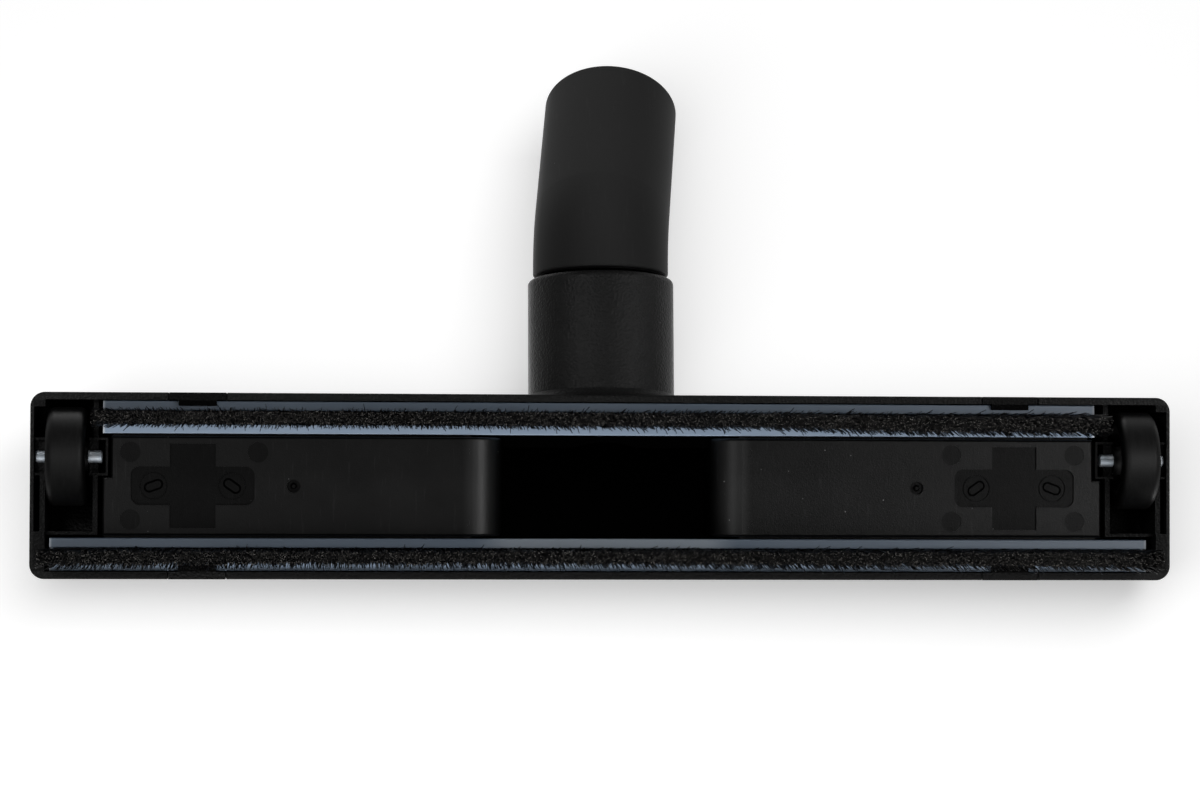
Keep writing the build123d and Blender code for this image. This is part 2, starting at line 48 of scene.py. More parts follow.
class Wire:
    # one socket of a node tree, so that maths on it reads as plain Python
    def __init__(self, tree, socket=None):
        self.tree = tree
        self.socket = socket

    def plug(self, target, value):
        if isinstance(value, Wire):
            self.tree.links.new(value.socket, target)
        else:
            target.default_value = value

    def node(self, kind, settings=None, values=None, out=0):
        made = self.tree.nodes.new(kind)
        for key, value in (settings or {}).items():
            setattr(made, key, value)
        for key, value in (values or {}).items():
            self.plug(made.inputs[key], value)
        return Wire(self.tree, made.outputs[out])

    def maths(self, operation, a, b):
        return self.node("ShaderNodeMath", {"operation": operation}, {0: a, 1: b})

    def __add__(self, other):
        return self.maths("ADD", self, other)

    def __radd__(self, other):
        return self.maths("ADD", other, self)

    def __sub__(self, other):
        return self.maths("SUBTRACT", self, other)

    def __rsub__(self, other):
        return self.maths("SUBTRACT", other, self)

    def __mul__(self, other):
        return self.maths("MULTIPLY", self, other)

    def __rmul__(self, other):
        return self.maths("MULTIPLY", other, self)

    def __truediv__(self, other):
        return self.maths("DIVIDE", self, other)

    def __pow__(self, other):
        return self.maths("POWER", self, other)

    def __gt__(self, other):
        return self.maths("GREATER_THAN", self, other)

    def __lt__(self, other):
        return self.maths("LESS_THAN", self, other)

    def larger(self, other):
        return self.maths("MAXIMUM", self, other)

    def size(self):
        return self.node("ShaderNodeMath", {"operation": "ABSOLUTE"}, {0: self})

    def swing(self):
        # a noise of 0 to 1 as a swing to both sides of zero
        return self - 0.5

    def ease(self, low, high):
        # 0 below low, 1 above high, smooth between
        values = {"Value": self, "From Min": low, "From Max": high}
        return self.node("ShaderNodeMapRange", {"interpolation_type": "SMOOTHSTEP"}, values)

    def blend(self, first, second):
        # this value picks between two colours
        return self.node("ShaderNodeMix", {"data_type": "RGBA"}, {0: self, 6: first, 7: second}, 2)


def grey(level):
    return (level, level, level, 1.0)


constantSockets = {"ior": "IOR", "gloss": "Specular IOR Level", "metal": "Metallic"}


def newFinish(name, look):
    finish = bpy.data.materials.new(name)
    finish.use_nodes = True
    shader = finish.node_tree.nodes["Principled BSDF"]
    for key, socket in constantSockets.items():
        if key in look:
            shader.inputs[socket].default_value = look[key]
    return finish, Wire(finish.node_tree), shader


def dress(canvas, shader, wires):
    for socket, wire in wires.items():
        canvas.plug(shader.inputs[socket], wire)


def objectPlace(canvas):
    return canvas.node("ShaderNodeTexCoord", out="Object")


def axes(canvas, place):
    split = canvas.node("ShaderNodeSeparateXYZ", None, {0: place}).socket.node
    return [Wire(canvas.tree, socket) for socket in split.outputs]


def stretched(canvas, place, scale):
    return canvas.node("ShaderNodeMapping", None, {"Vector": place, "Scale": scale})


def mottle(canvas, place, size, detail=2.0, raggedness=0.55):
    # soft noise with features about this size in metres
    values = {"Vector": place, "Scale": 1.0 / size, "Detail": detail, "Roughness": raggedness}
    return canvas.node("ShaderNodeTexNoise", None, values)


def pebbles(canvas, place, size, out="Distance"):
    return canvas.node("ShaderNodeTexVoronoi", None, {"Vector": place, "Scale": 1.0 / size}, out)


def relief(canvas, height, depth):
    return canvas.node("ShaderNodeBump", None, {"Height": height, "Distance": depth, "Strength": 1.0})


def specks(canvas, place, cell, share, reach, core=0.4):
    # dust: a dot in a share of the cells, each of them off its neighbours' grid
    near = pebbles(canvas, place, cell)
    pick = pebbles(canvas, place, cell, "Color")
    picked = axes(canvas, pick)[0] < share
    return (1.0 - near.ease(reach * core, reach)) * picked


def within(value, half, soft):
    # 1 where the value is closer to zero than half
    return 1.0 - value.size().ease(half - soft, half + soft)


def fromCentre(canvas, x, y):
    spot = canvas.node("ShaderNodeCombineXYZ", None, {0: x, 1: y})
    return canvas.node("ShaderNodeVectorMath", {"operation": "LENGTH"}, {0: spot}, "Value")


markLook = {
    "share": 0.48, "edge": 0.00012,
    "crossX": 0.1279, "bar": (0.0070, 0.0130), "arm": (0.0189, 0.00595), "armRound": 0.0028,
    "pinX": (0.147, 0.108), "pinY": 0.0104, "pinRadius": 0.00315, "pinShare": 0.7,
    "gateX": 0.097, "gateRadius": 0.0020,
    "pointers": ((-0.012, 35.0), (0.012, -20.0)), "pointerHalf": 0.0014, "pointerRound": 0.00135,
    "groove": 0.00034, "grooveShare": 0.95,
}


def disc(canvas, x, y, radius):
    return within(fromCentre(canvas, x, y), radius, markLook["edge"])


def soleMarks(canvas, place):
    # the darker faces of the moulded cross, of its pointers and of the ejector pin marks
    x, y = axes(canvas, place)[:2]
    edge = markLook["edge"]
    fromCross = x.size() - markLook["crossX"]
    halfX, halfY = markLook["bar"]
    bar = within(fromCross, halfX, edge) * within(y, halfY, edge)
    halfX, halfY = markLook["arm"]
    corner = markLook["armRound"]
    pastX = (fromCross.size() - (halfX - corner)).larger(0.0)
    pastY = (y.size() - (halfY - corner)).larger(0.0)
    arm = disc(canvas, pastX, pastY, corner)
    fromPinY = y.size() - markLook["pinY"]
    outer, inner = [disc(canvas, x.size() - pinX, fromPinY, markLook["pinRadius"])
                    for pinX in markLook["pinX"]]
    inner = inner * (1.0 - (x > 0.0) * (y < 0.0))      # the left front one is not there
    pins = outer.larger(inner) * markLook["pinShare"]
    gate = disc(canvas, x.size() - markLook["gateX"], y, markLook["gateRadius"])
    faces = bar.larger(arm).larger(gate).larger(pins) * markLook["share"]
    for offset, angle in markLook["pointers"]:
        turn = math.radians(angle)
        fromPointer = fromCross - offset
        lengthwise = fromPointer * math.cos(turn) + y * math.sin(turn)
        sideways = y * math.cos(turn) - fromPointer * math.sin(turn)
        past = (lengthwise.size() - markLook["pointerHalf"]).larger(0.0)
        fromEdge = fromCentre(canvas, past, sideways) - markLook["pointerRound"]
        faces = faces.larger(within(fromEdge, markLook["groove"], edge) * markLook["grooveShare"])
    return faces


upwardLimit = 0.1


def notUpward(canvas):
    # undersides and walls, not what faces up
    return axes(canvas, canvas.node("ShaderNodeTexCoord", out="Normal"))[2] < upwardLimit


ductLook = {"halfX": 0.042, "middleY": 0.005, "halfY": 0.0225, "soft": 0.0005, "depth": (0.0130, 0.0190)}


def ductShade(canvas, place):
    # painted shade inside the throat and the duct above it, where little light reaches
    x, y, z = axes(canvas, place)
    soft = ductLook["soft"]
    plan = within(x, ductLook["halfX"], soft) * within(y - ductLook["middleY"], ductLook["halfY"], soft)
    return plan * z.ease(*ductLook["depth"]) * notUpward(canvas)


pocketLook = {"middleX": 0.16445, "halfX": 0.01195, "halfY": 0.0262, "soft": 0.0002, "share": 0.4}


def pocketShade(canvas, place):
    # painted shade inside the wheel pockets and the end blocks beside them, not on the outside above
    x, y = axes(canvas, place)[:2]
    soft = pocketLook["soft"]
    fromPocket = x.size() - pocketLook["middleX"]
    plan = within(fromPocket, pocketLook["halfX"], soft) * within(y, pocketLook["halfY"], soft)
    return plan * notUpward(canvas) * pocketLook["share"]


gapLook = {"mouth": (0.0658, 0.0414), "axis": (0.9945, 0.1045), "step": (0.0011, 0.0013)}


def gapShade(canvas, place):
    # painted shade on the spigot of the elbow, seen at the bottom of the gap to the collar
    y, z = axes(canvas, place)[1:]
    mouthY, mouthZ = gapLook["mouth"]
    axisY, axisZ = gapLook["axis"]
    return 1.0 - ((y - mouthY) * axisY + (z - mouthZ) * axisZ).ease(*gapLook["step"])


hookLook = {"reach": 0.0263, "soft": 0.0001, "share": 0.75}


def hookShade(canvas, place):
    # painted shade on the hook of a latch, inside the long wall
    return within(axes(canvas, place)[1], hookLook["reach"], hookLook["soft"]) * hookLook["share"]


flankLook = {"step": (0.0046, 0.0060), "share": 0.8}
tyreLow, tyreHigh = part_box("wheel_tyre_left")
wheelX = (tyreLow.x + tyreHigh.x) / 2


def flankShade(canvas, place):
    # painted shade on the side faces of a wheel, which the pocket walls shade
    fromWheel = axes(canvas, place)[0].size() - wheelX
    return fromWheel.size().ease(*flankLook["step"]) * flankLook["share"]


shadeAndMarkLook = {"Base Color": grey(0.0006), "Roughness": 0.9, "Specular IOR Level": 0.0}


def dimmed(canvas, shader, share):
    # this share of the surface is painted dull and black: painted shade in the throat, the wheel pockets,
    # gaps, latch hooks and wheel flanks, and the darker faces of the moulded marks on the sole
    shadeAndMarkShader = canvas.node("ShaderNodeBsdfPrincipled", None, shadeAndMarkLook)
    brighter = Wire(canvas.tree, shader.outputs[0])
    mixed = canvas.node("ShaderNodeMixShader", None, {0: share, 1: brighter, 2: shadeAndMarkShader})
    canvas.plug(canvas.tree.nodes["Material Output"].inputs["Surface"], mixed)


mouldLook = {
    "cloudDetail": 3.0, "toneFrom": (0.3, 0.7), "fineSize": 0.6, "fineRough": 0.12,
    "scratchFrom": (0.63, 0.72), "scratchPolish": 0.08,
}


def mouldedPlastic(name, look):
    finish, canvas, shader = newFinish(name, look)
    place = objectPlace(canvas)
    cloud = mottle(canvas, place, look["cloudSize"], mouldLook["cloudDetail"])
    fine = mottle(canvas, place, look["grainSize"] * mouldLook["fineSize"])
    pits = pebbles(canvas, place, look["grainSize"])
    drag = mottle(canvas, stretched(canvas, place, look["dragScale"]), look["dragSize"])
    scratch = drag.ease(*mouldLook["scratchFrom"]) * look["scratch"]
    dust = specks(canvas, place, look["dustCell"], look["dustShare"], look["dustReach"])
    tone = cloud.ease(*mouldLook["toneFrom"]).blend(look["tone"], look["toneAlt"])
    tone = scratch.blend(tone, look["scratchTone"])
    tone = (dust * look["dust"]).blend(tone, look["dustTone"])
    rough = look["rough"] + cloud.swing() * look["roughDrift"]
    rough = rough + fine.swing() * mouldLook["fineRough"] - scratch * mouldLook["scratchPolish"]
    height = pits * look["pitShare"] + fine * (1.0 - look["pitShare"])
    normal = relief(canvas, height, look["grainDepth"])
    dress(canvas, shader, {"Base Color": tone, "Roughness": rough, "Normal": normal})
    # painted shade in hollows and gaps, and the darker moulded marks, mixed in as a dull black
    shadeAndMarks = 0.0
    for shade in look["dim"]:
        shadeAndMarks = shade(canvas, place).larger(shadeAndMarks)
    dimmed(canvas, shader, shadeAndMarks)
    if "lip" in look:
        # both throat lips are smoother than the rest
        lip = look["lip"]
        polish = within(axes(canvas, place)[0], lip["halfX"], lip["soft"]) * lip["polish"]
        canvas.plug(shader.inputs["Coat Weight"], polish)
        shader.inputs["Coat Roughness"].default_value = lip["rough"]
    return finish


headLook = {
    "ior": 1.5, "gloss": 0.16, "dim": (ductShade, pocketShade),
    "tone": grey(0.0040), "toneAlt": grey(0.0066),
    "cloudSize": 0.035, "rough": 0.46, "roughDrift": 0.12,
    "grainSize": 0.0008, "grainDepth": 0.00026, "pitShare": 0.6,
    "dragScale": (1.0, 12.0, 6.0), "dragSize": 0.012, "scratch": 0.25, "scratchTone": grey(0.024),
    "dustCell": 0.009, "dustShare": 0.35, "dustReach": 0.035, "dust": 0.5, "dustTone": grey(0.12),
}

latchLook = dict(headLook, gloss=0.14, dim=(hookShade,), tone=grey(0.0022), toneAlt=grey(0.0034))

soleLook = {
    "ior": 1.5, "gloss": 0.21, "dim": (ductShade, soleMarks),
    "tone": grey(0.0027), "toneAlt": grey(0.0042),
    "cloudSize": 0.02, "rough": 0.36, "roughDrift": 0.10,
    "grainSize": 0.0006, "grainDepth": 0.00006, "pitShare": 0.3,
    "dragScale": (14.0, 1.0, 4.0), "dragSize": 0.010, "scratch": 0.3, "scratchTone": grey(0.02),
    "dustCell": 0.005, "dustShare": 0.8, "dustReach": 0.05, "dust": 0.8, "dustTone": grey(0.22),
    "lip": {"halfX": 0.0435, "soft": 0.002, "polish": 0.58, "rough": 0.40},
}

elbowLook = {
    "ior": 1.5, "gloss": 0.28, "dim": (gapShade,),
    "tone": grey(0.0080), "toneAlt": grey(0.0100),
    "cloudSize": 0.03, "rough": 0.70, "roughDrift": 0.08,
    "grainSize": 0.0005, "grainDepth": 0.00002, "pitShare": 0.35,
    "dragScale": (10.0, 1.0, 1.4), "dragSize": 0.014, "scratch": 0.2, "scratchTone": grey(0.02),
    "dustCell": 0.012, "dustShare": 0.3, "dustReach": 0.025, "dust": 0.5, "dustTone": grey(0.12),
}

hubLook = {
    "ior": 1.5, "gloss": 0.30, "dim": (flankShade,),
    "tone": grey(0.006), "toneAlt": grey(0.009),
    "cloudSize": 0.008, "rough": 0.45, "roughDrift": 0.1,
    "grainSize": 0.0005, "grainDepth": 0.00002, "pitShare": 0.3,
    "dragScale": (1.0, 8.0, 8.0), "dragSize": 0.006, "scratch": 0.2, "scratchTone": grey(0.025),
    "dustCell": 0.006, "dustShare": 0.3, "dustReach": 0.04, "dust": 0.5, "dustTone": grey(0.12),
}

stripLook = {
    "ior": 1.5, "gloss": 0.5, "rough": 0.34,
    "tone": (0.200, 0.262, 0.348, 1.0), "toneAlt": (0.234, 0.298, 0.386, 1.0), "toneFrom": (0.3, 0.7),
    "drawScale": (0.03, 1.0, 1.0), "drawSize": 0.0009, "drawDetail": 3.0,
    "drawShare": 0.5, "drawRough": 0.10, "drawDepth": 0.00002, "cloudSize": 0.03,
    "cutDepth": 0.0009, "endHighlightShare": 0.85, "endHighlightTone": (0.62, 0.66, 0.70, 1.0), "cutRough": 0.3,
}

throatLightLook = {"halfX": 0.036, "soft": 0.006, "behindY": -0.0205, "tone": (0.45, 0.52, 0.60, 1.0)}


def drawnStrip(name, node, throatLight=None):
    # extruded bluish plastic: lines along its length, rougher at its sawn ends, which also get a pale
    # painted highlight
    finish, canvas, shader = newFinish(name, stripLook)
    place = objectPlace(canvas)
    lengthwise, across = axes(canvas, place)[:2]
    drawn = stretched(canvas, place, stripLook["drawScale"])
    lines = mottle(canvas, drawn, stripLook["drawSize"], stripLook["drawDetail"])
    cloud = mottle(canvas, place, stripLook["cloudSize"])
    drift = lines * stripLook["drawShare"] + cloud * (1.0 - stripLook["drawShare"])
    tone = drift.ease(*stripLook["toneFrom"]).blend(stripLook["tone"], stripLook["toneAlt"])
    if throatLight:
        # painted light: paler at the throat, where no sole plate shades the flange
        brighter = within(lengthwise, throatLight["halfX"], throatLight["soft"]) * (across > throatLight["behindY"])
        tone = brighter.blend(tone, throatLight["tone"])
    low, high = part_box(node)
    fromLow = (lengthwise - low.x).ease(0.0, stripLook["cutDepth"])
    fromHigh = (high.x - lengthwise).ease(0.0, stripLook["cutDepth"])
    cut = 1.0 - fromLow * fromHigh
    # painted highlight: the end faces are painted pale
    tone = (cut * stripLook["endHighlightShare"]).blend(tone, stripLook["endHighlightTone"])
    rough = stripLook["rough"] + lines.swing() * stripLook["drawRough"] + cut * stripLook["cutRough"]
    normal = relief(canvas, lines, stripLook["drawDepth"])
    dress(canvas, shader, {"Base Color": tone, "Roughness": rough, "Normal": normal})
    return finish


tyreLook = {
    "ior": 1.5, "gloss": 0.36, "rough": 0.50,
    "tone": grey(0.0062), "toneAlt": grey(0.0105), "toneFrom": (0.35, 0.7),
    "scuffScale": (7.0, 1.0, 1.0), "scuffSize": 0.004, "scuffDetail": 3.0, "scuffRough": 0.2,
    "grainSize": 0.0005, "grainRough": 0.1, "grainShare": 0.6, "grainDepth": 0.00003,
}


def tyreRubber(name):
    finish, canvas, shader = newFinish(name, tyreLook)
    place = objectPlace(canvas)
    scuffed = stretched(canvas, place, tyreLook["scuffScale"])
    scuff = mottle(canvas, scuffed, tyreLook["scuffSize"], tyreLook["scuffDetail"])
    fine = mottle(canvas, place, tyreLook["grainSize"])
    tone = scuff.ease(*tyreLook["toneFrom"]).blend(tyreLook["tone"], tyreLook["toneAlt"])
    rough = tyreLook["rough"] + scuff.swing() * tyreLook["scuffRough"]
    rough = rough + fine.swing() * tyreLook["grainRough"]
    height = fine * tyreLook["grainShare"] + scuff * (1.0 - tyreLook["grainShare"])
    normal = relief(canvas, height, tyreLook["grainDepth"])
    dress(canvas, shader, {"Base Color": tone, "Roughness": rough, "Normal": normal})
    # painted shade on the side faces of the tyre
    dimmed(canvas, shader, flankShade(canvas, place))
    return finish


steelLook = {
    "metal": 1.0, "rough": 0.56,
    "tone": (0.34, 0.38, 0.42, 1.0), "toneAlt": (0.46, 0.49, 0.52, 1.0), "toneFrom": (0.35, 0.65),
    "turnScale": (1.0, 0.06, 0.06), "turnSize": 0.0004, "turnRough": 0.16, "turnDepth": 0.000012,
    "cloudSize": 0.003, "cloudRough": 0.12,
}


def turnedSteel(name):
    # plated pin: fine rings from the lathe round its X axis
    finish, canvas, shader = newFinish(name, steelLook)
    place = objectPlace(canvas)
    rings = mottle(canvas, stretched(canvas, place, steelLook["turnScale"]), steelLook["turnSize"])
    cloud = mottle(canvas, place, steelLook["cloudSize"])
    tone = cloud.ease(*steelLook["toneFrom"]).blend(steelLook["tone"], steelLook["toneAlt"])
    rough = steelLook["rough"] + rings.swing() * steelLook["turnRough"]
    rough = rough + cloud.swing() * steelLook["cloudRough"]
    normal = relief(canvas, rings, steelLook["turnDepth"])
    dress(canvas, shader, {"Base Color": tone, "Roughness": rough, "Normal": normal})
    return finish


sealLook = {
    "ior": 1.5, "gloss": 0.4, "rough": 0.6, "roughDrift": 0.2,
    "tone": grey(0.009), "toneAlt": grey(0.014), "toneFrom": (0.3, 0.7),
    "cloudSize": 0.004, "cloudDetail": 3.0, "cloudDepth": 0.00002,
}


def sealRubber(name):
    finish, canvas, shader = newFinish(name, sealLook)
    cloud = mottle(canvas, objectPlace(canvas), sealLook["cloudSize"], sealLook["cloudDetail"])
    tone = cloud.ease(*sealLook["toneFrom"]).blend(sealLook["tone"], sealLook["toneAlt"])
    rough = sealLook["rough"] + cloud.swing() * sealLook["roughDrift"]
    normal = relief(canvas, cloud, sealLook["cloudDepth"])
    dress(canvas, shader, {"Base Color": tone, "Roughness": rough, "Normal": normal})
    return finish


nylonLook = {
    "ior": 1.53, "gloss": 0.15, "rough": 0.5, "strandRough": 0.25,
    "dark": grey(0.003), "pale": (0.30, 0.288, 0.27, 1.0), "tip": (0.965, 0.995),
    "dustSize": 0.004, "dustLow": 0.75, "dustRange": 0.5,
}


def brushNylon(name):
    # each strand has its own tone and a paler tip, both kept on the mesh
    finish, canvas, shader = newFinish(name, nylonLook)
    strand = canvas.node("ShaderNodeAttribute", {"attribute_name": "strandTone"}, None, "Fac")
    tip = canvas.node("ShaderNodeAttribute", {"attribute_name": "strandTip"}, None, "Fac")
    dusty = mottle(canvas, objectPlace(canvas), nylonLook["dustSize"])
    dusty = dusty * nylonLook["dustRange"] + nylonLook["dustLow"]
    paleTip = strand * dusty * tip.ease(*nylonLook["tip"])
    tone = paleTip.blend(nylonLook["dark"], nylonLook["pale"])
    rough = nylonLook["rough"] + strand.swing() * nylonLook["strandRough"]
    dress(canvas, shader, {"Base Color": tone, "Roughness": rough})
    return finish


headFinish = mouldedPlastic("grainedHeadPlastic", headLook)
latchFinish = mouldedPlastic("grainedLatchPlastic", latchLook)
soleFinish = mouldedPlastic("satinSolePlastic", soleLook)
elbowFinish = mouldedPlastic("satinElbowPlastic", elbowLook)
hubFinish = mouldedPlastic("wheelHubPlastic", hubLook)
rearStripFinish = drawnStrip("rearStripPlastic", "rear_strip_carrier")
frontStripFinish = drawnStrip("frontStripPlastic", "front_strip_carrier", throatLightLook)
tyreFinish = tyreRubber("wheelTyreRubber")
steelFinish = turnedSteel("platedPinSteel")
sealFinish = sealRubber("swivelSealRubber")
nylonFinish = brushNylon("brushNylon")

finishOfNode = {
    "top_shell": headFinish, "sole_plate": soleFinish,
    "rear_strip_carrier": rearStripFinish, "front_strip_carrier": frontStripFinish,
    "swivel_elbow": elbowFinish, "ring_half_upper": elbowFinish, "ring_half_lower": elbowFinish,
    "swivel_seal_ring": sealFinish,
}
for side in ("left", "right"):
    finishOfNode["wheel_hub_" + side] = hubFinish
    finishOfNode["wheel_tyre_" + side] = tyreFinish
    finishOfNode["axle_" + side] = steelFinish
    finishOfNode["strip_latch_rear_" + side] = latchFinish
    finishOfNode["strip_latch_front_" + side] = latchFinish
for nodeName, finish in finishOfNode.items():
    nodes[nodeName].data.materials.clear()
    nodes[nodeName].data.materials.append(finish)
print("finishes on", len(finishOfNode), "nodes")


brushLook = {
    "bedWidth": 0.0036, "bedFill": 0.86, "bedRagged": 0.17,
    "slotWidth": 0.0040, "slotTop": 0.0171, "slotFloor": 0.0156,
    "rootZ": 0.0166, "tipZ": 0.0001, "shortest": 0.94,
    "strandRadius": 0.00014, "strandSides": 3, "taper": 0.1,
    "scatter": 0.00022, "endBend": 18.0, "skewFrom": (-0.32, -0.14), "sagSpread": 0.55,
    "hairShare": 0.09, "hairReach": (0.0003, 0.0012), "hairBed": (0.8, 1.0), "hairAlong": 0.6,
    "upperShare": 0.25, "strayShare": 0.006, "stray": 0.9,
    "paleRarity": 6.0, "rootTone": 0.1,
}
brushes = {
    "rearBrush": {
        "node": "rear_bristles", "Strands": 23500, "Seed": 11,
        "Fan": 0.0004, "Droop": -0.0003, "Skew": -0.0010, "Sag": 0.0, "End Fan": 0.0042,
    },
    "frontBrush": {
        "node": "front_bristles", "Strands": 24500, "Seed": 23,
        "Fan": 0.0005, "Droop": -0.0007, "Skew": 0.0, "Sag": -0.0003, "End Fan": 0.0042,
    },
}
brushInputs = {
    "Strands": "Int", "Seed": "Int", "Length": "Float", "Middle": "Float", "Strip Y": "Float",
    "Fan": "Float", "Droop": "Float", "Skew": "Float", "Sag": "Float", "End Fan": "Float",
}


def brushTree():
    tree = bpy.data.node_groups.new("stripBrush", "GeometryNodeTree")
    tree.interface.new_socket("Geometry", in_out="INPUT", socket_type="NodeSocketGeometry")
    for name, kind in brushInputs.items():
        tree.interface.new_socket(name, in_out="INPUT", socket_type="NodeSocket" + kind)
    tree.interface.new_socket("Geometry", in_out="OUTPUT", socket_type="NodeSocketGeometry")
    canvas = Wire(tree)
    inlet = tree.nodes.new("NodeGroupInput")
    given = {socket.name: Wire(tree, socket) for socket in inlet.outputs if socket.name}

    def roll(offset, low=0.0, high=1.0):
        # one random number for each strand
        values = {2: low, 3: high, "Seed": given["Seed"] + offset}
        return canvas.node("FunctionNodeRandomValue", {"data_type": "FLOAT"}, values, 1)

    def vector(x, y, z):
        return canvas.node("ShaderNodeCombineXYZ", None, {0: x, 1: y, 2: z})

    def keep(geometry, name, kind, value):
        settings = {"data_type": kind, "domain": "POINT"}
        values = {"Geometry": geometry, "Name": name, "Value": value}
        return canvas.node("GeometryNodeStoreNamedAttribute", settings, values)

    # where each strand is rooted
    index = canvas.node("GeometryNodeInputIndex")
    along = (index + roll(1)) / given["Strands"] - 0.5       # -0.5 to 0.5 down the strip
    hairs = roll(4) < brushLook["hairShare"]                 # loose ones along both edges
    hairSide = (roll(11) < brushLook["upperShare"]) * 2.0 - 1.0
    fill = brushLook["bedFill"]
    ragged = brushLook["bedRagged"]
    inBed = roll(2, -fill, fill) + roll(3, -ragged, ragged)
    across = inBed * (1.0 - hairs) + hairs * hairSide * roll(12, *brushLook["hairBed"])
    rootX = along * given["Length"] + given["Middle"]
    rootY = across * (brushLook["bedWidth"] / 2) + given["Strip Y"]
    roots = vector(rootX, rootY, brushLook["rootZ"])
    points = canvas.node("GeometryNodePoints", None, {"Count": given["Strands"], "Position": roots})

    # how far each tip leans out
    strays = roll(5) < brushLook["strayShare"] / brushLook["hairShare"]
    reach = hairs * (1.0 + strays * brushLook["stray"]) * roll(6, *brushLook["hairReach"])
    ends = along * 2.0 * (along * along * 4.0) ** brushLook["endBend"]
    leanX = roll(7, -1.0, 1.0) * (brushLook["scatter"] + reach * brushLook["hairAlong"])
    leanX = leanX + ends * given["End Fan"]
    sag = given["Skew"] * (1.0 - along.ease(*brushLook["skewFrom"])) + given["Sag"] * along.size() * 2.0
    leanY = across * (given["Fan"] - sag * brushLook["sagSpread"]) + given["Droop"] + sag
    leanY = leanY + roll(8, -1.0, 1.0) * brushLook["scatter"] + reach * hairSide
    points = keep(points, "lean", "FLOAT_VECTOR", vector(leanX, leanY, 0.0))
    points = keep(points, "strandTone", "FLOAT", roll(9) ** brushLook["paleRarity"] * (1.0 - hairs))

    # the strands themselves
    fall = (0.0, 0.0, brushLook["tipZ"] - brushLook["rootZ"])
    strand = canvas.node("GeometryNodeCurvePrimitiveLine", None, {"Start": (0.0, 0.0, 0.0), "End": fall})
    lengths = vector(1.0, 1.0, roll(10, brushLook["shortest"], 1.0))
    strands = canvas.node("GeometryNodeInstanceOnPoints", None,
                          {"Points": points, "Instance": strand, "Scale": lengths})
    strands = canvas.node("GeometryNodeRealizeInstances", None, {"Geometry": strands})
    down = canvas.node("GeometryNodeSplineParameter")
    lean = canvas.node("GeometryNodeInputNamedAttribute", {"data_type": "FLOAT_VECTOR"}, {"Name": "lean"})
    bend = canvas.node("ShaderNodeVectorMath", {"operation": "SCALE"}, {0: lean, "Scale": down})
    strands = canvas.node("GeometryNodeSetPosition", None, {"Geometry": strands, "Offset": bend})
    strands = keep(strands, "strandTip", "FLOAT", down)
    profile = canvas.node("GeometryNodeCurvePrimitiveCircle", None,
                          {"Resolution": brushLook["strandSides"], "Radius": 1.0})
    girth = brushLook["strandRadius"] * (1.0 - down * brushLook["taper"])
    strands = canvas.node("GeometryNodeCurveToMesh", None,
                          {"Curve": strands, "Profile Curve": profile, "Scale": girth, "Fill Caps": True})

    # the backing that they are set in, in the slot of the strip
    thick = brushLook["slotTop"] - brushLook["slotFloor"]
    middleZ = brushLook["slotTop"] - thick / 2
    backing = canvas.node("GeometryNodeMeshCube", None,
                          {"Size": vector(given["Length"], brushLook["slotWidth"], thick)})
    backing = canvas.node("GeometryNodeTransform", None,
                          {"Geometry": backing,
                           "Translation": vector(given["Middle"], given["Strip Y"], middleZ)})
    backing = keep(backing, "strandTone", "FLOAT", brushLook["rootTone"])

    whole = tree.nodes.new("GeometryNodeJoinGeometry")
    for part in (backing, strands):
        tree.links.new(part.socket, whole.inputs[0])
    whole = canvas.node("GeometryNodeRealizeInstances", None, {"Geometry": Wire(tree, whole.outputs[0])})
    whole = canvas.node("GeometryNodeSetMaterial", None, {"Geometry": whole, "Material": nylonFinish})
    outlet = tree.nodes.new("NodeGroupOutput")
    canvas.plug(outlet.inputs[0], whole)
    return tree


stripBrushTree = brushTree()
for brushName, brush in brushes.items():
    seedMesh = bpy.data.meshes.new(brushName + "Seed")
    maker = bpy.data.objects.new(brushName + "Maker", seedMesh)
    scene.collection.objects.link(maker)
    growth = maker.modifiers.new("strands", "NODES")
    growth.node_group = stripBrushTree
    low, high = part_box(brush["node"])
    middle = (low + high) / 2
    sizes = brush | {"Length": high.x - low.x, "Middle": middle.x, "Strip Y": middle.y}
    for item in stripBrushTree.interface.items_tree:
        if item.in_out == "INPUT" and item.name in sizes:
            growth[item.identifier] = sizes[item.name]
    bpy.context.view_layer.update()
    grown = maker.evaluated_get(bpy.context.evaluated_depsgraph_get())
    brushMesh = bpy.data.meshes.new_from_object(grown)
    brushMesh.name = brushName
    bpy.data.objects.remove(maker)
    piece = bpy.data.objects.new(brushName, brushMesh)
    scene.collection.objects.link(piece)
    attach(piece, "head")
    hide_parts(brush["node"])
    triangles = sum(len(face.vertices) - 2 for face in brushMesh.polygons)
    print(brushName, "has", brush["Strands"], "strands and", triangles, "triangles")


